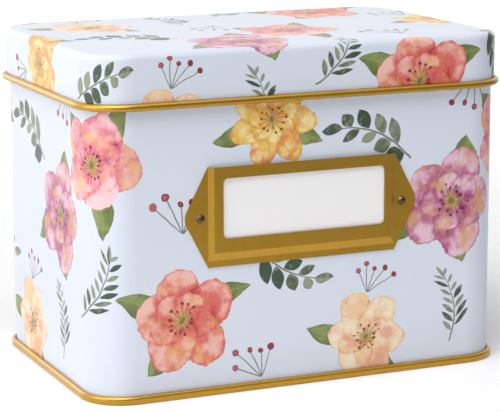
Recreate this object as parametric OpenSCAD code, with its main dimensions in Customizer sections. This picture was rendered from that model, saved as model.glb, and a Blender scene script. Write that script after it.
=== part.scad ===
// Hinged tinplate card box with a riveted label frame.
// Millimetres, +Z up, front towards -Y, origin at the centre of the footprint on the resting plane.

/* [Body] */
// Width across the outer faces of the walls
body_w = 165; // [140:0.5:200]
// Depth across the outer faces of the walls
body_d = 108; // [90:0.5:130]
// Outer radius of the upright corners
corner_r = 15; // [10:0.5:22]
// Thickness of the tinplate sheet
tin_t = 0.3; // [0.25:0.05:0.4]
// Height of the middle of the lid's rolled edge above the resting plane
lid_line = 107.7; // [90:0.1:130]
// Width of the lock seam that closes the sleeve at the back
side_seam_w = 5; // [3:0.5:8]

/* [Neck and rim] */
// Height of the slope where the wall steps in to the neck
neck_slope_h = 2; // [1.5:0.1:3]
// Outer radius of the inward curl along the rim
rim_r = 1; // [0.8:0.05:1.4]
// Clearance between the rim and the underside of the closed lid
rim_gap = 0.3; // [0.2:0.05:0.6]
// Clearance between the neck and the lid's edge as the lid swings past
swing_gap = 0.4; // [0.3:0.05:0.8]

/* [Base] */
// Height of the double seam round the foot
seam_h = 3; // [2.6:0.1:4]
// Space between the layers of the double seam
seam_gap = 0.28; // [0.2:0.02:0.35]
// Outer radius of the seam's top edge on the side of the wall
seam_fold_r = 0.36; // [0.32:0.02:0.6]
// Height of the top face of the base panel above the resting plane
panel_h = 3.2; // [2.8:0.1:5]
// Distance from the wall in to the stiffening bead of the base panel
panel_bead_in = 9; // [6:0.5:14]
// Outer radius of the stiffening bead
panel_bead_r = 1.2; // [0.9:0.1:1.6]
// Radius of the bead's path at the corners
panel_bead_turn = 8; // [4:0.5:14]

/* [Lid] */
// Height of the lid above the middle of its rolled edge
lid_h = 18.7; // [14:0.1:26]
// Clearance between the body wall and the inside of the lid's skirt
lid_gap = 0.9; // [0.7:0.05:1]
// Outer radius between the lid's top and its skirt
lid_top_r = 2.4; // [1.5:0.1:4]
// Outer radius of the rolled edge
edge_r = 1.35; // [1.2:0.05:1.5]
// Distance from the body wall out to the middle of the rolled edge
edge_out = 1.65; // [1.6:0.05:1.8]
// Width of the slit where the rolled edge ends beside the skirt
edge_slit = 0.25; // [0.15:0.05:0.35]

/* [Hinge] */
// Distance from the outer face of a side wall in to the middle of each hinge lug
lug_in = 37.5; // [34:0.5:50]
// Width of a hinge lug
lug_w = 16; // [12:0.5:20]
// Length of a lug below the hinge axis
lug_h = 12; // [9:0.5:16]
// Thickness of the lug's sheet
lug_t = 0.45; // [0.35:0.05:0.5]
// Radius of the lug's lower corners
lug_corner_r = 2.5; // [1:0.5:4]
// Distance between the two rivets of a lug
lug_rivet_gap = 9; // [5.5:0.5:10]
// Height of the lug's rivets above its lower edge
lug_rivet_up = 4.2; // [3:0.1:6]
// Clearance between the wire and the rolled edge that holds it
wire_gap = 0.25; // [0.2:0.05:0.3]
// Running clearance of the wire in a lug's knuckle
knuckle_gap = 0.05; // [0.03:0.01:0.08]
// Clearance between a lug and the notch in the lid
notch_gap = 0.5; // [0.4:0.05:1]
// Distance from the end of the straight back edge in to the end of the wire
wire_end = 2; // [0:0.5:6]

/* [Label frame] */
// Distance from the middle of the lid's rolled edge down to the middle of the frame
frame_drop = 41.9; // [38:0.1:50]
// Sideways place of the frame, towards +X
frame_shift = -2.2; // [-8:0.1:8]
// Width of the frame between its shoulders
frame_w = 75.1; // [60:0.1:85]
// Height of the frame
frame_h = 36.7; // [33:0.1:44]
// Width of each pointed wing beyond the shoulders
wing_w = 8.9; // [8:0.1:13]
// Radius of a wing's tip
wing_r = 5.6; // [3:0.1:6.5]
// Thickness of the frame's sheet
frame_t = 0.5; // [0.4:0.05:0.6]
// Height that the panel stands above the flange
frame_rise = 1.1; // [1:0.05:1.6]
// Width of the slope at the left and right of the panel
side_slope = 2.1; // [1.5:0.1:3]
// Width of the slope below the panel
foot_slope = 2.9; // [2.5:0.1:4.5]
// Width of the flange below the slope
foot_flange = 2.4; // [1:0.1:3]
// Radius along the edges of the panel
frame_edge_r = 0.9; // [0.5:0.1:1.2]
// Width of the window
window_w = 64.9; // [50:0.1:67]
// Height of the window
window_h = 22.1; // [18:0.1:23]
// Distance from the frame's top edge down to the window
window_drop = 4.2; // [3:0.1:6]
// Sideways place of the window in the frame, towards +X
window_shift = 0.5; // [-1:0.1:1]
// Radius of the window's corners
window_r = 1.8; // [1:0.1:4]

/* [Label card] */
// Thickness of the card
card_t = 0.5; // [0.3:0.05:0.6]
// Clearance round the card
card_gap = 0.3; // [0.2:0.05:0.4]
// Distance from the frame's top edge down to the card's top edge
card_drop = 0.6; // [0.3:0.1:2]

/* [Rivets] */
// Radius of a rivet's head
rivet_head_r = 1.7; // [1.4:0.05:2]
// Height of a rivet's head
rivet_head_h = 1.1; // [0.6:0.05:1.3]
// Radius of a rivet's shank
rivet_shank_r = 0.8; // [0.6:0.05:1]
// Radius of the head that is formed inside
rivet_tail_r = 1.5; // [1.3:0.05:2]
// Thickness of the head that is formed inside
rivet_tail_h = 0.5; // [0.3:0.05:0.8]
// Depth of the dimple in a rivet's head
rivet_dimple = 0.35; // [0.2:0.05:0.45]
// Clearance of a shank in its holes
rivet_gap = 0.05; // [0.02:0.01:0.1]
// Distance from a shoulder of the frame out to its rivet
frame_rivet_out = 3; // [2.4:0.1:4.5]

/* [Hidden] */
$fn = 96;

paper_white = [0.90, 0.93, 0.97];
matte_gold = [0.66, 0.50, 0.16];
dull_steel = [0.62, 0.61, 0.60];
dull_bronze = [0.45, 0.38, 0.30];
card_white = [0.95, 0.94, 0.93];

// Small overlap past a face, so that a cut comes out clean
cut = 1;
// Segments of a small round stretch in an outline
small_fn = 48;
// Steps of an edge radius in a computed outline
arc_steps = 6;

// Lid: skirt between these distances from the body wall, top at this height
skirt_in = lid_gap;
skirt_out = lid_gap + tin_t;
lid_top = lid_line + lid_h;
hinge_y = body_d / 2 + edge_out;

// The front edge swings inward by this much as it rises past the rim
rim_top = lid_top - tin_t - rim_gap;
swing_r = body_d + 2 * edge_out;
swing_in = swing_r - sqrt(pow(swing_r, 2) - pow(rim_top - lid_line, 2));
neck_in = max(2 * tin_t, swing_in + swing_gap - (edge_out - edge_r));
slope_bottom = lid_line - edge_r;
slope_top = slope_bottom + neck_slope_h;
rim_mid = rim_top - rim_r;

// Lock seam, clear of the base panel and of the slope to the neck
seam_end = 2;
side_seam_foot = panel_h + seam_end;
side_seam_h = slope_bottom - seam_end - side_seam_foot;
side_seam_layer = 1.5 * tin_t;
side_seam_groove = 0.4 * tin_t;

// Double seam: cover hook, body hook and outer wall lie one sheet and one gap apart
seam_out = 3 * (seam_gap + tin_t);
hook_r = seam_gap + 1.5 * tin_t;
hook_mid = seam_gap + tin_t / 2;
hook_z = tin_t + seam_gap / 2 + hook_r;
hook_top = seam_h - tin_t - 2 * seam_gap;
seam_bend_r = (seam_out - seam_gap) / 2;
seam_lip_r = seam_out - seam_gap - seam_fold_r;
seam_fit = 0.05;
chuck_out = tin_t + seam_fit;
chuck_in = chuck_out + tin_t;
panel_bend_r = 3 * tin_t;
panel_bead_hollow = panel_bead_r - tin_t;

// Hinge: wire and knuckle. The lug steps out to the knuckle between lug_join and lug_jog further
// down, and the slit is where the knuckle's sheet ends beside it.
wire_r = edge_r - tin_t - wire_gap;
bore_r = wire_r + knuckle_gap;
knuckle_r = bore_r + lug_t;
knuckle_in = edge_out - knuckle_r;
lug_x = body_w / 2 - lug_in;
lug_join = 0.75 * knuckle_r;
lug_jog = 1.5;
lug_slit = lug_t / 2;
lug_slit_end = bore_r / 2;

// Label frame
frame_z = lid_line - frame_drop;
frame_top = frame_z + frame_h / 2;
foot_z = frame_z - frame_h / 2 + foot_flange;
wing_mid = frame_w / 2 + wing_w - wing_r;
frame_rivet_x = frame_w / 2 + frame_rivet_out;
window_z = frame_top - window_drop - window_h / 2;

// Label card, between the wall and the panel and standing on the foot slope
card_front = card_gap + card_t;
card_w = frame_w - 2 * (side_slope + slope_inset(side_slope) + card_gap);
card_foot = foot_z + slope_inset(foot_slope) + foot_slope * card_front / frame_rise + card_gap;
card_top = frame_top - card_drop;
card_r = 1.5;

rivet_hole_r = rivet_shank_r + rivet_gap;

// How far the inside of a sloped sheet lies in from its outside, measured at the wall
function slope_inset(slope) =
    let (len = norm([slope, frame_rise]))
    frame_t * frame_rise / len - frame_t * (1 - slope / len) * slope / frame_rise;

function unit(v) = v / norm(v);

// Points of the arc that rounds the corner at b between its neighbours a and c
function round_corner(a, b, c, r) =
    let (
        to_a = unit(a - b),
        to_c = unit(c - b),
        half = acos(to_a * to_c) / 2,
        mid = b + unit(to_a + to_c) * r / sin(half),
        start = b + to_a * r / tan(half) - mid,
        turn = sign(cross(b - a, c - b)) * (180 - 2 * half),
        first = atan2(start[1], start[0])
    )
    [for (i = [0 : arc_steps])
        mid + r * [cos(first + turn * i / arc_steps), sin(first + turn * i / arc_steps)]];

// Plan of the box, grown outward from the outer faces of the walls
module plan(grow, r = undef) {
    w = body_w + 2 * grow;
    d = body_d + 2 * grow;
    r = is_undef(r) ? corner_r + grow : r;
    square([w - 2 * r, d], center = true);
    square([w, d - 2 * r], center = true);
    for (x = [-1, 1], y = [-1, 1])
        translate([x * (w / 2 - r), y * (d / 2 - r)]) circle(r);
}

// Carries an outline round the box: its x is the distance outward from the wall, its y the height.
// With grow, it is carried round a plan that lies that far out, with corners of radius r.
module around(grow = 0, r = corner_r) {
    for (i = [0 : 3]) {
        across = (i % 2 == 0 ? body_w : body_d) + 2 * grow;
        along = (i % 2 == 0 ? body_d : body_w) + 2 * grow;
        rotate([0, 0, 90 * i]) {
            translate([across / 2, along / 2 - r, 0])
                rotate([90, 0, 0]) linear_extrude(along - 2 * r) children();
            translate([across / 2 - r, along / 2 - r, 0])
                rotate_extrude(angle = 90) translate([r, 0]) children();
        }
    }
}

// Ring of sheet in an outline
module ring(r, thick) {
    difference() {
        circle(r, $fn = small_fn);
        circle(r - thick, $fn = small_fn);
    }
}

// Quarter of such a ring, from the angle start to start + 90
module bend(r, thick, start) {
    intersection() {
        ring(r, thick);
        rotate(start) square(r + cut);
    }
}

// Rectangle with rounded corners about the origin
module rounded(w, h, r) {
    square([w - 2 * r, h], center = true);
    square([w, h - 2 * r], center = true);
    for (x = [-1, 1], y = [-1, 1])
        translate([x * (w / 2 - r), y * (h / 2 - r)]) circle(r, $fn = small_fn);
}

// Upright or level strip of sheet in an outline
module strip(x, y, w, h) {
    translate([x, y]) square([w, h]);
}

// Body: hook in the double seam, wall, slope, neck and the curl along the rim
module body_outline() {
    translate([hook_mid, hook_z]) {
        bend(hook_r, tin_t, 180);
        bend(hook_r, tin_t, 270);
    }
    strip(hook_mid + hook_r - tin_t, hook_z, tin_t, hook_top - hook_z);
    strip(-tin_t, hook_z, tin_t, slope_bottom - hook_z);
    polygon([[0, slope_bottom], [-neck_in, slope_top],
        [-neck_in - tin_t, slope_top], [-tin_t, slope_bottom]]);
    strip(-neck_in - tin_t, slope_top, tin_t, rim_mid - slope_top);
    translate([-neck_in - rim_r, rim_mid]) {
        bend(rim_r, tin_t, 0);
        bend(rim_r, tin_t, 90);
        bend(rim_r, tin_t, 180);
    }
}

// Lock seam: a second layer inside, with the fold's groove outside
module side_seam() {
    translate([-side_seam_w / 2, body_d / 2 - 2 * tin_t, side_seam_foot])
        cube([side_seam_w, side_seam_layer, side_seam_h]);
}

module side_seam_cut() {
    translate([side_seam_w / 2, body_d / 2 - side_seam_groove, side_seam_foot])
        cube([tin_t, cut, side_seam_h]);
}

module body_wall() {
    color(paper_white) difference() {
        union() {
            around() body_outline();
            side_seam();
        }
        side_seam_cut();
        frame_rivet_places() rivet_hole();
        lug_rivet_places() rivet_hole();
    }
}

// Base: cover hook, outer wall, foot and the wall that rises inside the sleeve to the panel
module base_outline() {
    translate([seam_out - seam_lip_r, seam_h - seam_lip_r]) bend(seam_lip_r, tin_t, 0);
    translate([seam_gap + seam_fold_r, seam_h - seam_fold_r]) bend(seam_fold_r, tin_t, 90);
    strip(seam_gap, hook_z, tin_t, seam_h - seam_fold_r - hook_z);
    strip(seam_out - tin_t, seam_bend_r, tin_t, seam_h - seam_lip_r - seam_bend_r);
    translate([seam_out - seam_bend_r, seam_bend_r]) bend(seam_bend_r, tin_t, 270);
    strip(seam_bend_r - chuck_in, 0, seam_out + chuck_in - 2 * seam_bend_r, tin_t);
    translate([seam_bend_r - chuck_in, seam_bend_r]) bend(seam_bend_r, tin_t, 180);
    strip(-chuck_in, seam_bend_r, tin_t, panel_h - panel_bend_r - seam_bend_r);
    translate([-chuck_out - panel_bend_r, panel_h - panel_bend_r]) bend(panel_bend_r, tin_t, 0);
}

module base_pan() {
    color(matte_gold) {
        around() base_outline();
        translate([0, 0, panel_h - tin_t]) {
            linear_extrude(tin_t) difference() {
                plan(-chuck_out - panel_bend_r);
                plan(-panel_bead_in, panel_bead_turn + panel_bead_hollow);
            }
            linear_extrude(tin_t)
                plan(-panel_bead_in - 2 * panel_bead_hollow, panel_bead_turn - panel_bead_hollow);
            around(-panel_bead_in - panel_bead_hollow, panel_bead_turn) {
                bend(panel_bead_r, tin_t, 0);
                bend(panel_bead_r, tin_t, 90);
            }
        }
    }
}

// Lid: top plate, bend and skirt
module lid_outline() {
    translate([skirt_out - lid_top_r, lid_top - lid_top_r]) bend(lid_top_r, tin_t, 0);
    skirt_foot = lid_line + sqrt(pow(edge_r - tin_t, 2) - pow(edge_out - skirt_out, 2));
    strip(skirt_in, skirt_foot, tin_t, lid_top - lid_top_r - skirt_foot);
}

// Lid: the edge rolled outward from the skirt's foot, with the slit where the sheet ends
module edge_outline() {
    difference() {
        translate([edge_out, lid_line]) ring(edge_r, tin_t);
        strip(skirt_out, lid_line, edge_slit, edge_r + cut);
    }
}

module lug_notches() {
    half = lug_w / 2 + notch_gap;
    for (x = [-lug_x, lug_x])
        translate([x - half, body_d / 2, lid_line - edge_r - cut])
            cube([2 * half, edge_out + edge_r + cut, edge_r + cut + knuckle_r + notch_gap]);
}

module lid() {
    difference() {
        union() {
            color(paper_white) {
                around() lid_outline();
                translate([0, 0, lid_top - tin_t]) linear_extrude(tin_t) plan(skirt_out - lid_top_r);
            }
            color(matte_gold) around() edge_outline();
        }
        color(matte_gold) lug_notches();
    }
}

module hinge_wire() {
    len = body_w - 2 * corner_r - 2 * wire_end;
    color(dull_steel) translate([-len / 2, hinge_y, lid_line])
        rotate([0, 90, 0]) cylinder(h = len, r = wire_r);
}

// Side view of a lug: its x is the distance outward from the back wall, its y the height
module lug_outline() {
    difference() {
        translate([edge_out, lid_line]) circle(knuckle_r, $fn = small_fn);
        translate([edge_out, lid_line]) circle(bore_r, $fn = small_fn);
        strip(knuckle_in + lug_t, lid_line - knuckle_r - cut, lug_slit, cut + knuckle_r - lug_slit_end);
    }
    strip(knuckle_in, lid_line - lug_join, lug_t, lug_join);
    polygon([[knuckle_in, lid_line - lug_join], [knuckle_in + lug_t, lid_line - lug_join],
        [lug_t, lid_line - lug_join - lug_jog], [0, lid_line - lug_join - lug_jog]]);
}

module lug_plate() {
    top = lid_line - lug_join - lug_jog;
    foot = lid_line - lug_h;
    translate([-lug_w / 2, foot + lug_corner_r]) square([lug_w, top - foot - lug_corner_r]);
    translate([lug_corner_r - lug_w / 2, foot]) square([lug_w - 2 * lug_corner_r, lug_corner_r]);
    for (x = [-1, 1])
        translate([x * (lug_w / 2 - lug_corner_r), foot + lug_corner_r])
            circle(lug_corner_r, $fn = small_fn);
}

module hinge_lug(side) {
    color(matte_gold) difference() {
        union() {
            translate([side * lug_x - lug_w / 2, body_d / 2, 0])
                rotate([90, 0, 90]) linear_extrude(lug_w) lug_outline();
            translate([side * lug_x, body_d / 2 + lug_t, 0])
                rotate([90, 0, 0]) linear_extrude(lug_t) lug_plate();
        }
        lug_rivet_places() rivet_hole();
    }
}

// Rivet along +Z, with the inner face of the wall at z = 0 and what it clamps up to z = grip
module rivet(grip) {
    dome_r = (pow(rivet_head_r, 2) + pow(rivet_head_h, 2)) / (2 * rivet_head_h);
    translate([0, 0, -rivet_tail_h]) cylinder(h = rivet_tail_h, r = rivet_tail_r, $fn = small_fn);
    cylinder(h = grip, r = rivet_shank_r, $fn = small_fn);
    translate([0, 0, grip]) difference() {
        intersection() {
            translate([0, 0, rivet_head_h - dome_r]) sphere(dome_r);
            cylinder(h = rivet_head_h + cut, r = rivet_head_r + cut, $fn = small_fn);
        }
        translate([0, 0, rivet_head_h]) sphere(rivet_dimple, $fn = small_fn);
    }
}

module rivet_hole() {
    depth = tin_t + max(frame_t, lug_t) + 2 * cut;
    translate([0, 0, -cut]) cylinder(h = depth, r = rivet_hole_r, $fn = small_fn);
}

// Places of the rivets, on the inner face of the wall with +Z outward
module frame_rivet_places() {
    for (x = [-frame_rivet_x, frame_rivet_x])
        translate([frame_shift + x, tin_t - body_d / 2, frame_z]) rotate([90, 0, 0]) children();
}

module lug_rivet_places() {
    for (lug = [-lug_x, lug_x], x = [-lug_rivet_gap / 2, lug_rivet_gap / 2])
        translate([lug + x, body_d / 2 - tin_t, lid_line - lug_h + lug_rivet_up])
            rotate([-90, 0, 0]) children();
}

module hinge_rivets() {
    color(dull_bronze) lug_rivet_places() rivet(tin_t + lug_t);
}

module label_rivets() {
    color(dull_bronze) frame_rivet_places() rivet(tin_t + frame_t);
}

// Flange of the label frame: a rectangle with a pointed wing at each side
module flange_plan() {
    shoulder = [frame_w / 2, frame_h / 2];
    to_mid = shoulder - [wing_mid, 0];
    touch_angle = atan2(to_mid[1], to_mid[0]) - acos(wing_r / norm(to_mid));
    touch = [wing_mid, 0] + wing_r * [cos(touch_angle), sin(touch_angle)];
    for (side = [0, 1]) mirror([side, 0]) {
        polygon([[0, -shoulder[1]], [shoulder[0], -shoulder[1]], [touch[0], -touch[1]],
            touch, shoulder, [0, shoulder[1]]]);
        translate([wing_mid, 0]) circle(wing_r, $fn = small_fn);
    }
}

// Cross-section of the raised panel, x along the wall and y outward, as thick as a solid block
module panel_across() {
    low = [frame_w / 2, frame_t];
    high = [frame_w / 2 - side_slope, frame_t + frame_rise];
    right = concat([[low[0], 0], low],
        round_corner(low, high, [0, high[1]], frame_edge_r));
    left = [for (i = [len(right) - 1 : -1 : 0]) [-right[i][0], right[i][1]]];
    polygon(concat(right, left));
}

// Upright section of the raised panel, x upward from the slope's foot and y outward
module panel_upright() {
    low = [0, frame_t];
    high = [foot_slope, frame_t + frame_rise];
    tall = frame_top - foot_z;
    polygon(concat([[tall, 0], [0, 0], low],
        round_corner(low, high, [tall, high[1]], frame_edge_r), [[tall, high[1]]]));
}

// The space behind the panel, open at the top
module pocket_across() {
    foot = frame_w / 2 - slope_inset(side_slope);
    polygon([[-foot, 0], [foot, 0], [foot - side_slope, frame_rise], [side_slope - foot, frame_rise]]);
}

module pocket_upright() {
    foot = slope_inset(foot_slope);
    tall = frame_top - foot_z + cut;
    polygon([[foot, 0], [tall, 0], [tall, frame_rise], [foot + foot_slope, frame_rise]]);
}

// Block where both sections overlap: child 0 is the section along x, child 1 the one along z
module crossed() {
    intersection() {
        translate([0, 0, foot_z]) mirror([0, 1, 0])
            linear_extrude(frame_top - foot_z + cut) children(0);
        translate([-frame_w / 2 - cut, 0, foot_z]) rotate([180, -90, 0])
            linear_extrude(frame_w + 2 * cut) children(1);
    }
}

module window() {
    translate([window_shift, cut, window_z]) rotate([90, 0, 0])
        linear_extrude(frame_t + frame_rise + 2 * cut) rounded(window_w, window_h, window_r);
}

module label_holder() {
    color(matte_gold) difference() {
        translate([frame_shift, -body_d / 2, 0]) difference() {
            union() {
                translate([0, 0, frame_z]) rotate([90, 0, 0]) linear_extrude(frame_t) flange_plan();
                crossed() {
                    panel_across();
                    panel_upright();
                }
            }
            crossed() {
                pocket_across();
                pocket_upright();
            }
            window();
        }
        frame_rivet_places() rivet_hole();
    }
}

module label_card() {
    tall = card_top - card_foot;
    color(card_white) translate([frame_shift, -body_d / 2 - card_gap, card_foot + tall / 2])
        rotate([90, 0, 0]) linear_extrude(card_t) rounded(card_w, tall, card_r);
}

body_wall();
base_pan();
lid();
hinge_wire();
hinge_lug(-1);  // hinge_lug_left
hinge_lug(1);  // hinge_lug_right
hinge_rivets();
label_holder();
label_card();
label_rivets();
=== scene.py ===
"""Looks of the recipe card box: finishes, print, floor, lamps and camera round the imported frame."""
import math

import bpy
from mathutils import Matrix, Vector

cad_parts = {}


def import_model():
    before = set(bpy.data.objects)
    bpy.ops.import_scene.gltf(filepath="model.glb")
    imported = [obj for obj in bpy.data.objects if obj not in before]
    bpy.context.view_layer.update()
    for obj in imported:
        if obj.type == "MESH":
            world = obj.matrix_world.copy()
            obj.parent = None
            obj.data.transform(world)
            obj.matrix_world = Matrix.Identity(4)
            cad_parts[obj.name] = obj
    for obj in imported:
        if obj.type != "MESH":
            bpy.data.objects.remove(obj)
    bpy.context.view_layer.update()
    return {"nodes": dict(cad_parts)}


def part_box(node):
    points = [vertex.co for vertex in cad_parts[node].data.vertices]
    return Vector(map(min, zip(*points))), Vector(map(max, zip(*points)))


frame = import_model()

MM = 0.001

# Sheet metal, in millimetres, as the frame has it: the sheet, the corners of the walls, the lid's
# rolled edge and top bend, the rim's curl, and the slope and set-in of the neck
SHEET = 0.3
CORNER_R = 15.0
EDGE_OUT = 1.65
EDGE_R = 1.35
SKIRT_OUT = 1.2
LID_TOP_R = 2.4
RIM_R = 1.0
NECK_SLOPE = 2.0
NECK_IN = 1.58

lid_low, lid_high = (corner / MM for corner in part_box("lid"))
_, wall_high = (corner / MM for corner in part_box("body_wall"))
HALF_W = lid_high.x - EDGE_OUT - EDGE_R
HALF_D = lid_high.y - EDGE_OUT - EDGE_R
LID_TOP = lid_high.z
EDGE_Z = lid_low.z + EDGE_R
RIM_TOP = wall_high.z


# Shader nodes as arithmetic

# Keeps a division from running into zero
TINY = 0.001
# Constants of a common sine hash
HASH_RATE = 12.9898
HASH_SPREAD = 437.585


class Field:
    """A number, vector or colour that varies over a surface: the output of a shader node."""

    def __init__(self, sketch, socket):
        self.sketch = sketch
        self.socket = socket

    def __add__(self, other):
        return self.sketch.math("ADD", self, other)

    def __radd__(self, other):
        return self.sketch.math("ADD", other, self)

    def __sub__(self, other):
        return self.sketch.math("SUBTRACT", self, other)

    def __rsub__(self, other):
        return self.sketch.math("SUBTRACT", other, self)

    def __mul__(self, other):
        return self.sketch.math("MULTIPLY", self, other)

    def __rmul__(self, other):
        return self.sketch.math("MULTIPLY", other, self)

    def __truediv__(self, other):
        return self.sketch.math("DIVIDE", self, other)

    def __rtruediv__(self, other):
        return self.sketch.math("DIVIDE", other, self)

    def __abs__(self):
        return self.sketch.math("ABSOLUTE", self)

    def __lt__(self, other):
        return self.sketch.math("LESS_THAN", self, other)

    def __gt__(self, other):
        return self.sketch.math("GREATER_THAN", self, other)


class Sketch:
    """Adds nodes to one shader node tree."""

    def __init__(self, tree):
        self.tree = tree

    def node(self, kind, **settings):
        made = self.tree.nodes.new(kind)
        for name, value in settings.items():
            setattr(made, name, value)
        return made

    def put(self, socket, value):
        """Links a field to a socket, or sets a plain value on it."""
        if isinstance(value, Field):
            self.tree.links.new(value.socket, socket)
        else:
            socket.default_value = value

    def math(self, operation, *values):
        made = self.node("ShaderNodeMath", operation=operation)
        for socket, value in zip(made.inputs, values):
            self.put(socket, value)
        return Field(self, made.outputs[0])

    def vector_math(self, operation, *values):
        made = self.node("ShaderNodeVectorMath", operation=operation)
        for socket, value in zip(made.inputs, values):
            self.put(socket, value)
        single = operation in ("LENGTH", "DISTANCE", "DOT_PRODUCT")
        return Field(self, made.outputs[1 if single else 0])

    def vector(self, x, y, z=0.0):
        made = self.node("ShaderNodeCombineXYZ")
        for socket, value in zip(made.inputs, (x, y, z)):
            self.put(socket, value)
        return Field(self, made.outputs[0])

    def split(self, vector):
        made = self.node("ShaderNodeSeparateXYZ")
        self.put(made.inputs[0], vector)
        return [Field(self, out) for out in made.outputs]

    def mix(self, a, b, share, kind="FLOAT"):
        """a where share is 0, and b where it is 1."""
        made = self.node("ShaderNodeMix", data_type=kind)
        first = {"FLOAT": 2, "VECTOR": 4, "RGBA": 6}[kind]
        self.put(made.inputs[0], share)
        self.put(made.inputs[first], a)
        self.put(made.inputs[first + 1], b)
        return Field(self, made.outputs[first // 2 - 1])

    def paint(self, under, colour, share):
        return self.mix(under, colour, share, "RGBA")

    def step(self, value, start, end, low=0.0, high=1.0):
        """Goes smoothly from low to high as value goes from start to end."""
        made = self.node("ShaderNodeMapRange", interpolation_type="SMOOTHSTEP")
        for socket, number in zip(made.inputs, (value, start, end, low, high)):
            self.put(socket, number)
        return Field(self, made.outputs[0])

    def noise(self, vector, scale, detail=2.0, rough=0.5):
        """A smooth random number about 0.5, and a vector of three such numbers."""
        made = self.node("ShaderNodeTexNoise")
        self.put(made.inputs["Vector"], vector)
        made.inputs["Scale"].default_value = scale
        made.inputs["Detail"].default_value = detail
        made.inputs["Roughness"].default_value = rough
        return Field(self, made.outputs["Fac"]), Field(self, made.outputs["Color"])

    def pick(self, number, colours):
        """The colour at that place of a list, for a number that counts from 0."""
        made = self.node("ShaderNodeValToRGB")
        ramp = made.color_ramp
        ramp.interpolation = "CONSTANT"
        while len(ramp.elements) < len(colours):
            ramp.elements.new(0.5)
        for place, colour in enumerate(colours):
            ramp.elements[place].position = place / len(colours)
            ramp.elements[place].color = colour
        self.put(made.inputs[0], (number + 0.5) / len(colours))
        return Field(self, made.outputs[0])

    def choose(self, number, values):
        """As pick, but for numbers."""
        most = max(values)
        return self.pick(number, [(value / most,) * 3 + (1,) for value in values]) * most

    def hypot(self, x, y):
        return self.math("SQRT", x * x + y * y)

    def hash(self, number, seed):
        """A random number from 0 to 1 for each whole number."""
        return self.math("FRACT", self.math("SINE", number * HASH_RATE + seed) * HASH_SPREAD)


def srgb(red, green, blue):
    """A colour written as it looks on screen, from 0 to 255."""
    def linear(part):
        part /= 255
        return part / 12.92 if part <= 0.04045 else ((part + 0.055) / 1.055) ** 2.4
    return (linear(red), linear(green), linear(blue), 1.0)


# Printed pattern: loose washes of open blossoms, leaf sprays and berries, repeated both ways.
# Places are in millimetres on the flat sheet, whose width goes three times round the box.

REPEAT_ALONG = 173.4
REPEAT_UP = 112.0
PRINT_GROUND = srgb(227, 233, 244)
PRINT_GRAIN = srgb(222, 229, 242)
GROUND_NOISE = (0.9, 2.0)

# Each blossom: (along, up, half size, turn in degrees)
BLOSSOMS = [
    (-50, 29, 20.0, 25),
    (-14, 100, 17.0, 200),
    (60, 64, 21.0, 72),
    (24, 15, 17.5, 172),
    (-84, 87, 19.5, 285),
]
PETALS = [5, 7, 5, 6, 5]
CORAL = (srgb(249, 198, 186), srgb(228, 110, 98), srgb(180, 42, 56), srgb(242, 170, 100))
YELLOW = (srgb(253, 230, 166), srgb(238, 187, 72), srgb(202, 106, 36), srgb(230, 130, 84))
MAUVE = (srgb(240, 200, 214), srgb(190, 100, 142), srgb(142, 24, 82), srgb(226, 168, 114))
PEACH = (srgb(254, 238, 212), srgb(246, 208, 160), srgb(216, 114, 72), srgb(236, 164, 136))
PINK = (srgb(251, 208, 213), srgb(230, 120, 140), srgb(176, 42, 84), srgb(245, 190, 128))
# The washes in the blossoms' order: light, middle, dark, and a second hue that bleeds in
WASHES = [CORAL, YELLOW, MAUVE, PEACH, PINK]
EYE = srgb(204, 178, 96)
EYE_CORE = srgb(112, 106, 56)
THREAD = srgb(140, 84, 70)
ANTHER = srgb(78, 36, 50)

# Each spray: (along, up, half size, turn in degrees)
SPRAYS = [
    (26, 91, 19.0, 160),
    (-82, 42, 16.0, 60),
    (-8, 45, 18.0, -30),
    (60, 24, 15.0, 100),
]
LEAF_LIGHT = srgb(152, 162, 100)
LEAF = srgb(116, 130, 68)
LEAF_DARK = srgb(72, 86, 46)
SPRAY_LIGHT = srgb(148, 160, 132)
SPRAY_DARK = srgb(62, 84, 66)
SPRAY_EDGE = srgb(46, 64, 52)
SPRAY_WARM = srgb(186, 188, 128)
STEM = srgb(104, 112, 76)

# Each cluster of berries: (along, up, half size, turn in degrees)
BERRIES = [
    (-50, 70, 10.5, 95),
    (27, 39, 8.5, 70),
    (-22, 12, 9.5, 115),
    (66, 104, 10.0, 250),
]
BERRY = srgb(158, 44, 52)
BERRY_DARK = srgb(96, 20, 34)
BERRY_LIGHT = srgb(224, 132, 124)
STALK = srgb(96, 92, 62)

# Sizes within a motif are shares of its half size, and tones go from 0, light, to 1, dark.
# A pair is where something starts and where it is full. SHARE is how strongly it is painted,
# NOISE the scale, detail and roughness of its noise, WAVER the amount, scale and detail of its
# hand-drawn outline, and SEED sets its random numbers apart.

# Petals: the outer ring has reach 1
PETAL_WIDTH = 2.25
PETAL_LENGTH = 0.42
PETAL_LENGTH_SPREAD = 0.14
PETAL_EDGE = (0.0, 0.045)
PETAL_TONE_SPREAD = 0.34
PETAL_SEED = 7.233
# A petal's darker root, near the blossom's middle
ROOT = (0.8, 0.1)
ROOT_TONE = 0.30
# Paint that pools along a petal's edge
POOL = (0.16, 0.0)
POOL_TONE = 0.18
POOL_RAGGED = 4.0
POOL_SPREAD = 0.3
# Shade of a petal on the one below
OVERLAP = (-0.26, 0.0)
OVERLAP_TONE = 0.30
BLOSSOM_CORE = 0.2

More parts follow.
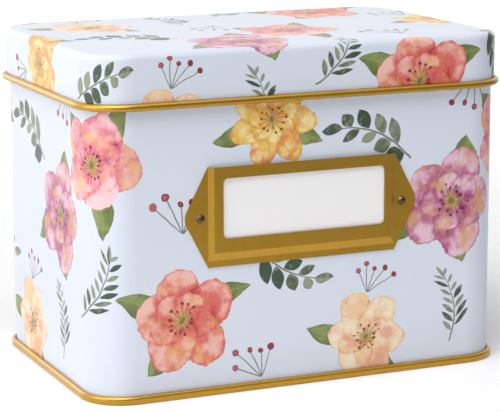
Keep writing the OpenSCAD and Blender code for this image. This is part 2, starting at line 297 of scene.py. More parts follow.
# Leaves under a blossom: (direction in radians, reach, bend)
LEAF_REACHES = [(0.0, 1.56, 0.22), (2.3, 1.46, -0.26), (3.7, 1.34, 0.20)]
LEAF_START = 0.12
LEAF_BEND_AT = 0.8
LEAF_WIDTH = 0.235
LEAF_RAGGED = 0.20
LEAF_EDGE = (0.0, 0.05)
LEAF_RIM = (0.16, 0.0)
LEAF_RIM_SHARE = 0.75
LEAF_RIB = (0.022, 0.008)
LEAF_RIB_SHARE = 0.65
LEAF_NOISE = (3.2, 4.0, 0.6)
# How the green turns darker across a leaf, and its darkest patches
LEAF_LEAN = 0.7
LEAF_TURN = (0.28, 0.62)
LEAF_PATCH = (0.50, 0.72)
LEAF_PATCH_SHARE = 0.55

# Stamens
STAMENS = 15
STAMEN_SWAY = 0.22
STAMEN_REACH = 0.17
STAMEN_SPREAD = 0.15
THREAD_WIDTH = (0.013, 0.005)
THREAD_START = 0.08
THREAD_SHARE = 0.65
THREAD_SEED = 5.1
ANTHER_SIZE = 0.020
ANTHER_SPREAD = 0.016
ANTHER_EDGE = (1.15, 0.75)
ANTHER_SHARE = 0.9
ANTHER_SEED = 2.3
EYE_EDGE = (0.20, 0.09)
EYE_RAGGED = 0.16
EYE_CORE_EDGE = (0.085, 0.045)
EYE_CORE_RAGGED = 0.10
EYE_SHARE = 0.85

# Blossoms: outline, the rings of petals, and how the wash runs
BLOSSOM_WAVER = (0.24, 1.6)
BLOSSOM_RAGGED = 0.22
RAGGED_NOISE = (6.5, 3.0, 0.6)
OUTER_REACH = 1.0
OUTER_PHASE = 0.0
OUTER_SEED = 1.7
INNER_REACH = 0.62
INNER_PHASE = 0.5
INNER_SEED = 4.1
INNER_TONE = 0.10
HEART = (0.78, 0.45)
HEART_TONE = 0.16
MOTTLE_NOISE = (2.3, 5.0, 0.6)
MOTTLE_TONE = 2.1
# Streaks from the blossom's middle outward: how many go round, and how long they are
STREAK_ROUND = 4.5
STREAK_OUT = 1.2
STREAK_NOISE = (1.0, 3.0)
STREAK_TONE = 0.6
MIDDLE_TONE = (-0.04, 0.54)
DARK_TONE = (0.54, 1.12)
DARK_SHARE = 0.95
SECOND_BLEED = (0.48, 0.66)
SECOND_SHARE = 0.8
LIGHT_BLEED = (0.56, 0.70)
LIGHT_SHARE = 0.6

# Sprays: a bent stem with pairs of leaves, broad or slim
SPRAY_WAVER = (0.07, 2.5, 1.0)
SPRAY_BEND = 0.30
SPRAY_RISE = 0.10
# Pairs of leaves per half size, and a leaf's half width: of broad sprays, of slim ones
SPRAY_PAIRS = (2.7, 4.4)
SPRAY_LEAF_WIDTH = (0.125, 0.055)
SPRAY_STAGGER = 0.25
SPRAY_ANGLE = math.radians(46)
SPRAY_TAPER = 0.30
SPRAY_GROW_SPREAD = 0.30
SPRAY_SEED = 2.7
SPRAY_SIDE_SEED = 0.3
SPRAY_LEAF_MIDDLE = 0.235
SPRAY_LEAF_LENGTH = 0.205
SPRAY_LEAVES_END = 0.80
SPRAY_LEAVES_BACK = 0.10
TIP_MIDDLE = 0.86
TIP_LENGTH = 0.20
STEM_WIDTH = 0.017
STEM_TAPER = 0.008
STEM_ENDS = (-0.98, 0.72)
STEM_SHARE = 0.9
SPRAY_NOISE = (4.0, 4.0, 0.6)
SPRAY_MOTTLE = 2.0
SPRAY_DARKEN = (0.10, 0.80)
SPRAY_WARMING = (0.56, 0.70)
SPRAY_WARM_SHARE = 0.6
SPRAY_RIM = (0.22, 0.0)
SPRAY_RIM_SHARE = 0.5
SPRAY_COVER = (0.0, 0.08)
# Far below any leaf's own shape value
OUTSIDE = 9.0

# Berries: a fan of stalks with one berry each
BERRY_WAVER = (0.12, 1.5, 1.0)
FAN_FOOT = 0.9
FAN_CELL = math.radians(21)
FAN_HALF = 2.5
STALK_REACH = 1.05
STALK_SPREAD = 0.55
STALK_WIDTH = 0.022
STALK_SHARE = 0.85
STALK_SEED = 4.3
BERRY_SIZE = 0.11
BERRY_SPREAD = 0.05
BERRY_SEED = 1.9
BERRY_EDGE = (0.0, 0.15)
BERRY_RIM = (0.5, 0.0)
# Light spot of a berry, off to one side
BERRY_LEAN = 0.5
BERRY_SPOT = (0.62, 0.80)
BERRY_SPOT_SHARE = 0.5


def place_of(sketch, point, places):
    """The nearest motif: the point in its own turned and scaled coordinates, its number as Z."""
    best = None
    for number, (along, up, half, turn) in enumerate(places):
        high = (along + REPEAT_ALONG / 2, up + REPEAT_UP / 2, 1.0)
        low = (along - REPEAT_ALONG / 2, up - REPEAT_UP / 2, -1.0)
        near = sketch.vector_math("WRAP", point, high, low)
        local = sketch.node("ShaderNodeMapping", vector_type="TEXTURE")
        sketch.put(local.inputs["Vector"], near)
        local.inputs["Location"].default_value = (along, up, -number)
        local.inputs["Rotation"].default_value = (0, 0, math.radians(turn))
        local.inputs["Scale"].default_value = (half, half, 1)
        here = Field(sketch, local.outputs[0])
        away = sketch.vector_math("DISTANCE", here, (0, 0, number))
        if best is None:
            best, least = here, away
            continue
        closer = away < least
        best = sketch.mix(best, here, closer, "VECTOR")
        least = sketch.math("MINIMUM", least, away)
    return best


def waver(sketch, local, amount, scale, detail=3.0):
    """The same point, shifted a little at random, for hand-drawn outlines."""
    _, shift = sketch.noise(local, scale, detail)
    shift = sketch.vector_math("SUBTRACT", shift, (0.5, 0.5, 0.5))
    shift = sketch.vector_math("MULTIPLY", shift, (amount, amount, 0))
    return sketch.vector_math("ADD", local, shift)


def lens(along, across, middle, half_length, half_width):
    """Leaf shape with a point at each end: above 0 inside, 1 on the midrib's middle."""
    share = (along - middle) / half_length
    return 1.0 - abs(across) / half_width - share * share


def petals(sketch, rho, phi, number, count, reach, phase, seed, ragged):
    """A ring of overlapping petals. Returns its cover and its tone from light to dark."""
    cell = 2 * math.pi / count
    half_width = PETAL_WIDTH * reach / count
    turn = phi / cell + phase
    own = sketch.math("ROUND", turn)
    offset = (turn - own) * cell
    cover = tone = None
    for side in (1, 0, -1):
        delta = offset - side * cell
        along = rho * sketch.math("COSINE", delta)
        across = rho * sketch.math("SINE", delta)
        which = sketch.math("FLOORED_MODULO", own + side, count)
        chance = sketch.hash(which, number * PETAL_SEED + seed)
        length = PETAL_LENGTH * reach + chance * (PETAL_LENGTH_SPREAD * reach)
        inside = 1.0 - sketch.hypot(along / length - 1.0, across / half_width) + ragged
        over = sketch.step(inside, *PETAL_EDGE)
        pool = POOL_TONE + ragged * POOL_RAGGED + chance * POOL_SPREAD
        wash = sketch.step(inside, *POOL) * pool + chance * PETAL_TONE_SPREAD
        wash = wash + sketch.step(along, ROOT[0] * reach, ROOT[1] * reach) * ROOT_TONE
        if cover is None:
            cover, tone = over, wash
            continue
        shade = sketch.step(inside, *OVERLAP) * OVERLAP_TONE
        tone = sketch.mix(tone + shade, wash, over)
        cover = sketch.math("MAXIMUM", cover, over)
    return sketch.math("MAXIMUM", cover, rho < BLOSSOM_CORE), tone


def draw_leaves(sketch, colour, local, x, y, number):
    """Two broad leaves that reach out from under a blossom, or three where its number is even."""
    wash, _ = sketch.noise(local, *LEAF_NOISE)
    even = sketch.math("FLOORED_MODULO", number, 2.0) < 0.5
    presence = (1.0, 1.0, even)
    for (angle, reach, bend), present in zip(LEAF_REACHES, presence):
        along = x * math.cos(angle) + y * math.sin(angle)
        across = y * math.cos(angle) - x * math.sin(angle)
        across = across + bend * (along - LEAF_BEND_AT) * (along - LEAF_BEND_AT)
        half_length = reach / 2 - LEAF_START
        leaf = lens(along, across, LEAF_START + half_length, half_length, LEAF_WIDTH)
        leaf = leaf + (wash - 0.5) * LEAF_RAGGED
        turn = sketch.step(wash + across * LEAF_LEAN, *LEAF_TURN)
        patch = sketch.step(wash, *LEAF_PATCH) * LEAF_PATCH_SHARE
        rim = sketch.step(leaf, *LEAF_RIM) * LEAF_RIM_SHARE
        rib = sketch.step(abs(across), *LEAF_RIB) * LEAF_RIB_SHARE
        green = sketch.paint(LEAF_LIGHT, LEAF, turn)
        green = sketch.paint(green, LEAF_DARK, patch)
        green = sketch.paint(green, LEAF_DARK, rim)
        green = sketch.paint(green, LEAF_LIGHT, rib)
        colour = sketch.paint(colour, green, sketch.step(leaf, *LEAF_EDGE) * present)
    return colour


def draw_stamens(sketch, colour, rho, phi, number, mottle):
    """A blossom's eye, and a ring of threads with an anther at each end."""
    cell = 2 * math.pi / STAMENS
    own = sketch.math("ROUND", phi / cell)
    chance = sketch.hash(own, number * THREAD_SEED)
    across = rho * (phi - own * cell + (chance - 0.5) * STAMEN_SWAY)
    reach = STAMEN_REACH + chance * STAMEN_SPREAD
    eye = sketch.step(rho + (mottle - 0.5) * EYE_RAGGED, *EYE_EDGE)
    colour = sketch.paint(colour, EYE, eye * EYE_SHARE)
    core = sketch.step(rho + (mottle - 0.5) * EYE_CORE_RAGGED, *EYE_CORE_EDGE)
    colour = sketch.paint(colour, EYE_CORE, core * EYE_SHARE)
    thread = sketch.step(abs(across), *THREAD_WIDTH) * (rho < reach) * (rho > THREAD_START)
    colour = sketch.paint(colour, THREAD, thread * THREAD_SHARE)
    dot = sketch.hypot(rho - reach, across)
    size = ANTHER_SIZE + sketch.hash(own, number * ANTHER_SEED) * ANTHER_SPREAD
    anther = sketch.step(dot / size, *ANTHER_EDGE) * ANTHER_SHARE
    return sketch.paint(colour, ANTHER, anther)


def draw_blossoms(sketch, colour, point):
    """Two rings of petals in wet washes, over a few leaves."""
    local = place_of(sketch, point, BLOSSOMS)
    x, y, number = sketch.split(waver(sketch, local, *BLOSSOM_WAVER))
    colour = draw_leaves(sketch, colour, local, x, y, number)
    rho = sketch.hypot(x, y)
    phi = sketch.math("ARCTAN2", y, x)
    count = sketch.choose(number, PETALS)
    rough, _ = sketch.noise(local, *RAGGED_NOISE)
    ragged = (rough - 0.5) * BLOSSOM_RAGGED
    outer = (OUTER_REACH, OUTER_PHASE, OUTER_SEED)
    inner = (INNER_REACH, INNER_PHASE, INNER_SEED)
    cover, tone = petals(sketch, rho, phi, number, count, *outer, ragged)
    inner_cover, inner_tone = petals(sketch, rho, phi, number, count, *inner, ragged)
    tone = tone + sketch.step(rho, *HEART) * HEART_TONE
    tone = sketch.mix(tone, inner_tone + INNER_TONE, inner_cover)

    mottle, bleed = sketch.noise(local, *MOTTLE_NOISE)
    polar = sketch.vector(phi * STREAK_ROUND, rho * STREAK_OUT, number)
    streaks, _ = sketch.noise(polar, *STREAK_NOISE)
    tone = tone + (mottle - 0.5) * MOTTLE_TONE + (streaks - 0.5) * STREAK_TONE
    light, middle, dark, second = [sketch.pick(number, list(column)) for column in zip(*WASHES)]
    wash = sketch.paint(light, middle, sketch.step(tone, *MIDDLE_TONE))
    wash = sketch.paint(wash, dark, sketch.step(tone, *DARK_TONE) * DARK_SHARE)
    _, second_bleed, light_bleed = sketch.split(bleed)
    wash = sketch.paint(wash, second, sketch.step(second_bleed, *SECOND_BLEED) * SECOND_SHARE)
    wash = sketch.paint(wash, light, sketch.step(light_bleed, *LIGHT_BLEED) * LIGHT_SHARE)
    wash = draw_stamens(sketch, wash, rho, phi, number, mottle)
    return sketch.paint(colour, wash, cover)


def spray_leaves(sketch, x, across, side, number, pairs, half_width):
    """Shape and tone of the leaves along a spray's stem, and of the one at its tip."""
    turn = x * pairs + side * SPRAY_STAGGER
    own = sketch.math("FLOOR", turn)
    part = turn - own
    level = math.cos(SPRAY_ANGLE)
    rise = math.sin(SPRAY_ANGLE)
    shape = tone = None
    for back in (0, 1):
        start = own - back
        chance = sketch.hash(start + side * SPRAY_SIDE_SEED, number * SPRAY_SEED)
        grow = 1.0 - SPRAY_TAPER * (start / pairs) + (chance - 0.5) * SPRAY_GROW_SPREAD
        forward = (part + back) / pairs
        along = (forward * level + across * rise) / grow
        off = (across * level - forward * rise) / grow
        leaf = lens(along, off, SPRAY_LEAF_MIDDLE, SPRAY_LEAF_LENGTH, half_width)
        beyond = abs(start / pairs + SPRAY_LEAVES_BACK) > SPRAY_LEAVES_END
        leaf = leaf - beyond * OUTSIDE
        if shape is None:
            shape, tone = leaf, chance
            continue
        tone = sketch.mix(tone, chance, leaf > shape)
        shape = sketch.math("MAXIMUM", shape, leaf)
    tip = lens(x, across, TIP_MIDDLE, TIP_LENGTH, half_width)
    return sketch.math("MAXIMUM", shape, tip), tone


def draw_sprays(sketch, colour, point):
    """Stems with pairs of leaves: broad on the even sprays, slim on the odd ones."""
    local = place_of(sketch, point, SPRAYS)
    x, y, number = sketch.split(waver(sketch, local, *SPRAY_WAVER))
    y = y - SPRAY_BEND * (x * x) + SPRAY_RISE
    side = sketch.math("SIGN", y)
    across = abs(y)
    slim = sketch.math("FLOORED_MODULO", number, 2.0)
    pairs = sketch.mix(*SPRAY_PAIRS, slim)
    half_width = sketch.mix(*SPRAY_LEAF_WIDTH, slim)
    shape, tone = spray_leaves(sketch, x, across, side, number, pairs, half_width)
    width = STEM_WIDTH - x * STEM_TAPER
    stem = (across < width) * (x > STEM_ENDS[0]) * (x < STEM_ENDS[1])
    wash, _ = sketch.noise(local, *SPRAY_NOISE)
    dark = sketch.step(tone + (wash - 0.5) * SPRAY_MOTTLE, *SPRAY_DARKEN)
    green = sketch.paint(SPRAY_LIGHT, SPRAY_DARK, dark)
    warm = sketch.step(wash, *SPRAY_WARMING) * SPRAY_WARM_SHARE
    green = sketch.paint(green, SPRAY_WARM, warm)
    rim = sketch.step(shape, *SPRAY_RIM) * SPRAY_RIM_SHARE
    green = sketch.paint(green, SPRAY_EDGE, rim)
    colour = sketch.paint(colour, STEM, stem * STEM_SHARE)
    return sketch.paint(colour, green, sketch.step(shape, *SPRAY_COVER))


def draw_berries(sketch, colour, point):
    """Fans of thin stalks, each with one berry."""
    local = place_of(sketch, point, BERRIES)
    x, y, number = sketch.split(waver(sketch, local, *BERRY_WAVER))
    x = x + FAN_FOOT
    rho = sketch.hypot(x, y)
    turn = sketch.math("ARCTAN2", y, x) / FAN_CELL
    own = sketch.math("ROUND", turn)
    offset = (turn - own) * FAN_CELL
    reach = STALK_REACH + sketch.hash(own, number * STALK_SEED) * STALK_SPREAD
    there = abs(own) < FAN_HALF
    across = rho * offset
    stalk = (abs(across) < STALK_WIDTH) * (rho < reach) * there
    size = BERRY_SIZE + sketch.hash(own, number * BERRY_SEED) * BERRY_SPREAD
    inside = 1.0 - sketch.hypot(rho - reach, across) / size
    red = sketch.paint(BERRY, BERRY_DARK, sketch.step(inside, *BERRY_RIM))
    spot = sketch.step(inside + y * BERRY_LEAN, *BERRY_SPOT) * BERRY_SPOT_SHARE
    red = sketch.paint(red, BERRY_LIGHT, spot)
    colour = sketch.paint(colour, STALK, stalk * STALK_SHARE)
    return sketch.paint(colour, red, sketch.step(inside, *BERRY_EDGE) * there)


def print_group():
    """Node group of the print: from the place on the flat sheet, in millimetres, to the colour."""
    tree = bpy.data.node_groups.new("printed_botanical", "ShaderNodeTree")
    tree.interface.new_socket("Point", in_out="INPUT", socket_type="NodeSocketVector")
    tree.interface.new_socket("Color", in_out="OUTPUT", socket_type="NodeSocketColor")
    sketch = Sketch(tree)
    point = Field(sketch, tree.nodes.new("NodeGroupInput").outputs[0])
    grain, _ = sketch.noise(point, *GROUND_NOISE)
    colour = sketch.paint(PRINT_GROUND, PRINT_GRAIN, grain)
    colour = draw_berries(sketch, colour, point)
    colour = draw_sprays(sketch, colour, point)
    colour = draw_blossoms(sketch, colour, point)
    out = tree.nodes.new("NodeGroupOutput")
    sketch.put(out.inputs[0], colour)
    return tree


# Finishes. NOISE is the scale per millimetre, detail and roughness of a noise, GRAIN_FLOW the
# scale along each axis of a grain that runs one way, and BUMP the strength and the depth in
# millimetres.

# Satin print, and how far the pattern on the lid is shifted
PRINT_ROUGH = 0.33
PRINT_ROUGH_SPREAD = 0.06
LID_SHIFT = (78.4, 100.0)
# Slow waves and fine grain of the printed sheet, in the bump's height
WAVE_NOISE = (0.045, 1.0)
WAVE_HEIGHT = 3.0
GRAIN_HEIGHT = 0.04
PRINT_BUMP = (0.35, 0.15)

# Gold enamel under a clear lacquer
GOLD = srgb(188, 143, 32)
GOLD_DARK = srgb(170, 125, 20)
GOLD_LIGHT = srgb(206, 163, 56)
GOLD_METAL = 0.9
GOLD_ROUGH = 0.32
GOLD_ROUGH_SPREAD = 0.12
GOLD_NOISE = (0.35, 4.0, 0.6)
GOLD_FINE_NOISE = (6.0, 2.0)
GOLD_DARKEN = (0.40, 0.75)
GOLD_DARK_SHARE = 0.30
GOLD_LIGHTEN = (0.55, 0.75)
GOLD_LIGHT_SHARE = 0.15
GOLD_BUMP = (0.15, 0.02)
LACQUER = 0.55
LACQUER_ROUGH = 0.3
# Room for rounding where the rolled edge's gold ends
EDGE_SLACK = 0.03

STEEL = srgb(176, 174, 170)
STEEL_DARK = srgb(128, 126, 122)
STEEL_ROUGH = 0.28
STEEL_ROUGH_SPREAD = 0.15
STEEL_GRAIN_FLOW = (0.05, 6.0, 6.0)
STEEL_NOISE = (1.0, 2.0)
STEEL_BUMP = (0.2, 0.02)

RIVET = srgb(112, 92, 70)
RIVET_DARK = srgb(66, 50, 38)
RIVET_ROUGH = 0.24
RIVET_ROUGH_SPREAD = 0.14
RIVET_NOISE = (0.9, 3.0, 0.55)
RIVET_FINE_NOISE = (7.0, 2.0)
RIVET_DARKEN = (0.38, 0.66)
RIVET_DARK_SHARE = 0.6
RIVET_BUMP = (0.10, 0.02)

PAPER = srgb(253, 251, 251)
PAPER_DARK = srgb(247, 244, 243)
PAPER_ROUGH = 0.85
PAPER_TOOTH_NOISE = (5.0, 4.0, 0.7)
PAPER_GRAIN_FLOW = (0.6, 3.0, 2.4)
PAPER_NOISE = (1.0, 3.0, 0.7)
PAPER_DARKEN = (0.35, 0.75)
PAPER_DARK_SHARE = 0.5
PAPER_BUMP = (0.12, 0.02)


def material(name):
    """A new material, with its sketch, its shader and the place on the part in millimetres."""
    made = bpy.data.materials.new(name)
    made.use_nodes = True
    sketch = Sketch(made.node_tree)
    shader = made.node_tree.nodes["Principled BSDF"]
    coords = sketch.node("ShaderNodeTexCoord")
    place = sketch.vector_math("SCALE", Field(sketch, coords.outputs["Object"]))
    place.socket.node.inputs["Scale"].default_value = 1 / MM
    return made, sketch, shader, place


def stretched(sketch, place, flow):
    """The place with each axis scaled, for grain that runs one way."""
    x, y, z = sketch.split(place)
    return sketch.vector(x * flow[0], y * flow[1], z * flow[2])


def bump(sketch, shader, height, strength, distance_mm):
    """Fine relief of the surface, as deep as distance_mm where height goes from 0 to 1."""
    made = sketch.node("ShaderNodeBump")
    made.inputs["Strength"].default_value = strength
    made.inputs["Distance"].default_value = distance_mm * MM
    sketch.put(made.inputs["Height"], height)
    sketch.put(shader.inputs["Normal"], Field(sketch, made.outputs["Normal"]))


def wall_distance(sketch, x, y):
    """Distance outward from the walls' outer faces, the core's nearest x, and the way out of it."""
    core_x = sketch.math("MINIMUM", abs(x), HALF_W - CORNER_R)
    core_y = sketch.math("MINIMUM", abs(y), HALF_D - CORNER_R)
    out_x = abs(x) - core_x
    out_y = abs(y) - core_y
    return sketch.hypot(out_x, out_y) - CORNER_R, core_x, out_x, out_y


def gold_colour(sketch, place):
    """Colour of the gold enamel, and its fine grain."""
    tone, _ = sketch.noise(place, *GOLD_NOISE)
    fine, _ = sketch.noise(place, *GOLD_FINE_NOISE)
    dark = sketch.step(tone, *GOLD_DARKEN) * GOLD_DARK_SHARE
    light = sketch.step(fine, *GOLD_LIGHTEN) * GOLD_LIGHT_SHARE
    colour = sketch.paint(GOLD, GOLD_DARK, dark)
    return sketch.paint(colour, GOLD_LIGHT, light), fine


def enamel():
    """Gold enamel on its own."""
    made, sketch, shader, place = material("gold_enamel_paint")
    colour, fine = gold_colour(sketch, place)
    sketch.put(shader.inputs["Base Color"], colour)
    shader.inputs["Metallic"].default_value = GOLD_METAL
    sketch.put(shader.inputs["Roughness"], GOLD_ROUGH + (fine - 0.5) * GOLD_ROUGH_SPREAD)
    shader.inputs["Coat Weight"].default_value = LACQUER
    shader.inputs["Coat Roughness"].default_value = LACQUER_ROUGH
    bump(sketch, shader, fine, *GOLD_BUMP)
    return made


def printed(name, sheet_point, gold_mask):
    """Satin print, with gold enamel where gold_mask says."""
    made, sketch, shader, place = material(name)
    x, y, z = sketch.split(place)
    group = sketch.node("ShaderNodeGroup", node_tree=PRINT)
    sketch.put(group.inputs[0], sheet_point(sketch, x, y, z))
    gold = gold_mask(sketch, x, y, z)
    paint, fine = gold_colour(sketch, place)
    colour = sketch.paint(Field(sketch, group.outputs[0]), paint, gold)
    sketch.put(shader.inputs["Base Color"], colour)
    sketch.put(shader.inputs["Metallic"], gold * GOLD_METAL)
    satin = PRINT_ROUGH + (fine - 0.5) * PRINT_ROUGH_SPREAD
    enamelled = GOLD_ROUGH + (fine - 0.5) * GOLD_ROUGH_SPREAD
    sketch.put(shader.inputs["Roughness"], sketch.mix(satin, enamelled, gold))
    sketch.put(shader.inputs["Coat Weight"], gold * LACQUER)
    shader.inputs["Coat Roughness"].default_value = LACQUER_ROUGH
    wave, _ = sketch.noise(place, *WAVE_NOISE)
    bump(sketch, shader, wave * WAVE_HEIGHT + fine * GRAIN_HEIGHT, *PRINT_BUMP)
    return made


def wall_point(sketch, x, y, z):
    """Unrolled wall: distance round the box from the middle of the front, and height."""
    _, core_x, out_x, _ = wall_distance(sketch, x, y)
    core_y = sketch.math("MINIMUM", y, HALF_D - CORNER_R)
    core_y = sketch.math("MAXIMUM", core_y, CORNER_R - HALF_D)
    angle = sketch.math("ARCTAN2", out_x, core_y - y)
    back = y > 0.0
    flat = sketch.mix(core_x, 2 * (HALF_W - CORNER_R) - core_x, back)
    side = core_y + (HALF_D - CORNER_R)
    round_way = flat + angle * CORNER_R + side
    return sketch.vector(round_way * sketch.math("SIGN", x), z, 0.0)


def lid_point(sketch, x, y, z):
    """Lid as drawn from a flat sheet: the top as it lies, and the skirt folded out."""
    distance, _, out_x, out_y = wall_distance(sketch, x, y)
    reach = sketch.math("MAXIMUM", distance + CORNER_R, TINY)
    drop = LID_TOP - z
    along = (abs(x) + out_x / reach * drop) * sketch.math("SIGN", x)
    up = (abs(y) + out_y / reach * drop) * sketch.math("SIGN", y)
    return sketch.vector(along + LID_SHIFT[0], up + LID_SHIFT[1], 0.0)


def wall_gold(sketch, x, y, z):
    """The inside of the body: behind the middle of the sheet, apart from the curl on the rim."""
    distance = wall_distance(sketch, x, y)[0]
    slope = sketch.math("DIVIDE", z - (EDGE_Z - EDGE_R), NECK_SLOPE)
    slope = sketch.math("MAXIMUM", sketch.math("MINIMUM", slope, 1.0), 0.0)
    middle = slope * -NECK_IN - SHEET / 2
    curl = sketch.hypot(distance + (NECK_IN + RIM_R), z - (RIM_TOP - RIM_R))
    on_curl = (abs(curl - RIM_R) < SHEET / 2) * (z > RIM_TOP - 2 * RIM_R)
    return (distance < middle) * (1.0 - on_curl)


def lid_gold(sketch, x, y, z):
    """The rolled edge, and the inside of the lid."""
    distance = wall_distance(sketch, x, y)[0]
    edge = sketch.hypot(distance - EDGE_OUT, z - EDGE_Z) < EDGE_R + EDGE_SLACK
    bend_x = sketch.math("MAXIMUM", distance - (SKIRT_OUT - LID_TOP_R), 0.0)
    bend_z = sketch.math("MAXIMUM", z - (LID_TOP - LID_TOP_R), 0.0)
    inside = sketch.hypot(bend_x, bend_z) < LID_TOP_R - SHEET / 2
    return sketch.math("MAXIMUM", edge, inside)


def drawn_steel():
    """Steel wire with fine lines along it."""
    made, sketch, shader, place = material("drawn_steel")
    lines, _ = sketch.noise(stretched(sketch, place, STEEL_GRAIN_FLOW), *STEEL_NOISE)
    sketch.put(shader.inputs["Base Color"], sketch.paint(STEEL, STEEL_DARK, lines))
    shader.inputs["Metallic"].default_value = 1.0
    sketch.put(shader.inputs["Roughness"], STEEL_ROUGH + lines * STEEL_ROUGH_SPREAD)
    bump(sketch, shader, lines, *STEEL_BUMP)
    return made


def plated_rivet():
    """Dull bronze plating with darker patches."""
    made, sketch, shader, place = material("dull_bronze_plating")
    tone, _ = sketch.noise(place, *RIVET_NOISE)
    fine, _ = sketch.noise(place, *RIVET_FINE_NOISE)
    dark = sketch.step(tone, *RIVET_DARKEN) * RIVET_DARK_SHARE
    colour = sketch.paint(RIVET, RIVET_DARK, dark)
    sketch.put(shader.inputs["Base Color"], colour)
    shader.inputs["Metallic"].default_value = 1.0
    sketch.put(shader.inputs["Roughness"], RIVET_ROUGH + tone * RIVET_ROUGH_SPREAD)
    bump(sketch, shader, fine, *RIVET_BUMP)
    return made


def card_paper():
    """Uncoated card with faint fibres."""
    made, sketch, shader, place = material("card_paper")
    tooth, _ = sketch.noise(place, *PAPER_TOOTH_NOISE)
    fibres, _ = sketch.noise(stretched(sketch, place, PAPER_GRAIN_FLOW), *PAPER_NOISE)
    dark = sketch.step(fibres, *PAPER_DARKEN) * PAPER_DARK_SHARE
    colour = sketch.paint(PAPER, PAPER_DARK, dark)
    sketch.put(shader.inputs["Base Color"], colour)
    shader.inputs["Roughness"].default_value = PAPER_ROUGH
    bump(sketch, shader, tooth, *PAPER_BUMP)
    return made


PRINT = print_group()
FINISHES = {
    "body_wall": printed("printed_wall", wall_point, wall_gold),
    "lid": printed("printed_lid", lid_point, lid_gold),
    "hinge_wire": drawn_steel(),
    "label_card": card_paper(),
}
gold = enamel()
for name in ("base_pan", "hinge_lug_left", "hinge_lug_right", "label_holder"):
    FINISHES[name] = gold
rivet = plated_rivet()
for name in ("hinge_rivets", "label_rivets"):
    FINISHES[name] = rivet
for name, finish in FINISHES.items():
    node = frame["nodes"][name]
    node.data.materials.clear()
    node.data.materials.append(finish)


# Floor, world and lamps, in metres

FLOOR_HALF = 6.0
FLOOR_WHITE = (0.94, 0.935, 0.93, 1)
FLOOR_ROUGH = 0.9
# Glow of the floor under the box and far from it, and the distances of both
FLOOR_GLOW = (0.125, 0.78)
FLOOR_FADE = (0.1, 1.0)
# In reflections the low front right of the room is dimmer than the backdrop: white and floor
FRONT_SHARE = 0.15
FRONT_FLOOR = (0.45, 0.45, 0.45, 1)
FRONT_WAY = (0.6, -0.8, -0.8)
FRONT_FADE = (0.04, 0.36)
WHITE = (1, 1, 1, 1)
WORLD_LIGHT = 0.12
LAMP_AIM = (0, 0, 0.06)
# Each lamp: place, size, watts and colour
LAMPS = {
    "key_left": ((-1.6, -0.15, 0.75), (1.2, 1.2), 10.8, (1.0, 0.98, 0.96)),
    "overhead": ((-0.55, -0.7, 1.6), (1.4, 1.2), 21.0, (0.945, 0.965, 1.0)),
    "near_top": ((-0.1, 0.0, 1.0), (1.0, 1.0), 2.1, (1.0, 0.985, 0.975)),
    "behind_left": ((-1.1, 1.9, 0.7), (1.4, 1.1), 8.4, (1.0, 0.99, 0.97)),
}
# Light that the floor in front throws up on the box
BOUNCE = ((-0.05, -0.19, 0.002), (0.5, 0.24), 0.11, (0.93, 0.965, 1.0))
BOUNCE_AIM = (-0.05, -0.19, 1)


def shown_ray(sketch, place):
    """1 for rays that see the white background, and how far a reflection looks to the dim front."""
    path = sketch.node("ShaderNodeLightPath")
    glossy = Field(sketch, path.outputs["Is Glossy Ray"])
    front = sketch.step(sketch.vector_math("DOT_PRODUCT", place, FRONT_WAY), *FRONT_FADE)
    shown = glossy * sketch.mix(1.0, FRONT_SHARE, front)
    for name in ("Is Camera Ray", "Is Transmission Ray"):
        shown = sketch.math("MAXIMUM", shown, Field(sketch, path.outputs[name]))
    return shown, glossy * front


def floor_finish():
    """Pale floor that keeps the box's shadow and fades into the white background."""
    made = bpy.data.materials.new("white_floor")
    made.use_nodes = True
    sketch = Sketch(made.node_tree)
    shader = made.node_tree.nodes["Principled BSDF"]
    shader.inputs["Roughness"].default_value = FLOOR_ROUGH
    shader.inputs["Emission Color"].default_value = WHITE
    coords = sketch.node("ShaderNodeTexCoord")
    place = Field(sketch, coords.outputs["Object"])
    glow = sketch.step(sketch.vector_math("LENGTH", place), *FLOOR_FADE, *FLOOR_GLOW)
    shown, dim = shown_ray(sketch, place)
    sketch.put(shader.inputs["Base Color"], sketch.paint(FLOOR_WHITE, FRONT_FLOOR, dim))
    sketch.put(shader.inputs["Emission Strength"], shown * glow)
    return made


def floor():
    """A flat square that the box stands on."""
    half = FLOOR_HALF
    corners = [(-half, -half, 0), (half, -half, 0), (half, half, 0), (-half, half, 0)]
    mesh = bpy.data.meshes.new("floor")
    mesh.from_pydata(corners, [], [(0, 1, 2, 3)])
    plane = bpy.data.objects.new("floor", mesh)
    bpy.context.scene.collection.objects.link(plane)
    plane.data.materials.append(floor_finish())


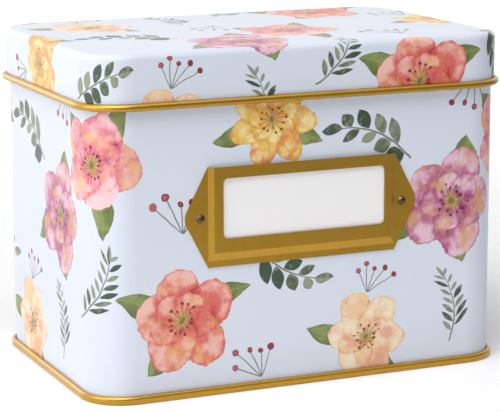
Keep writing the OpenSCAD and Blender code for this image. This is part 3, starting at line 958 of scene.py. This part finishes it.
def world():
    """White behind the box, and a faint even light on it."""
    made = bpy.data.worlds.new("studio")
    bpy.context.scene.world = made
    made.use_nodes = True
    sketch = Sketch(made.node_tree)
    back = made.node_tree.nodes["Background"]
    back.inputs["Color"].default_value = WHITE
    coords = sketch.node("ShaderNodeTexCoord")
    direction = Field(sketch, coords.outputs["Generated"])
    shown, _ = shown_ray(sketch, direction)
    sketch.put(back.inputs["Strength"], sketch.mix(WORLD_LIGHT, 1.0, shown))


def lamp(name, place, size, power, colour, aim=LAMP_AIM):
    """An area lamp that faces the middle of the box, or the given point."""
    data = bpy.data.lights.new(name, "AREA")
    data.shape = "RECTANGLE"
    data.size, data.size_y = size
    data.energy = power
    data.color = colour
    made = bpy.data.objects.new(name, data)
    bpy.context.scene.collection.objects.link(made)
    made.location = place
    made.rotation_euler = (Vector(aim) - Vector(place)).to_track_quat("-Z", "Y").to_euler()
    return made


floor()
world()
for name, settings in LAMPS.items():
    lamp(name, *settings)
bounce = lamp("bounce", *BOUNCE, BOUNCE_AIM)
bounce.visible_camera = False
bounce.visible_glossy = False


# Camera, fitted to the box's edges in the photograph

CAMERA_PLACE = Vector((-326.8, -743.5, 220.7)) * MM
CAMERA_YAW = math.radians(23.77)
CAMERA_PITCH = math.radians(11.40)
CAMERA_ROLL = math.radians(-0.20)
CAMERA_LENS = 153.1
CAMERA_SENSOR = 36.0
CAMERA_SIGHT = 50


def camera():
    """The photograph's camera, from its fitted place and angles."""
    level = math.cos(CAMERA_PITCH)
    ahead = (math.sin(CAMERA_YAW) * level, math.cos(CAMERA_YAW) * level, -math.sin(CAMERA_PITCH))
    forward = Vector(ahead)
    right = Vector((math.cos(CAMERA_YAW), -math.sin(CAMERA_YAW), 0))
    up = right.cross(forward)
    turned_right = right * math.cos(CAMERA_ROLL) + up * math.sin(CAMERA_ROLL)
    turned_up = up * math.cos(CAMERA_ROLL) - right * math.sin(CAMERA_ROLL)
    data = bpy.data.cameras.new("camera")
    data.sensor_width = CAMERA_SENSOR
    data.lens = CAMERA_LENS
    data.clip_end = CAMERA_SIGHT
    made = bpy.data.objects.new("camera", data)
    bpy.context.scene.collection.objects.link(made)
    made.matrix_world = Matrix((turned_right, turned_up, -forward)).transposed().to_4x4()
    made.location = CAMERA_PLACE
    bpy.context.scene.camera = made


camera()
bpy.context.scene.view_settings.view_transform = "Standard"
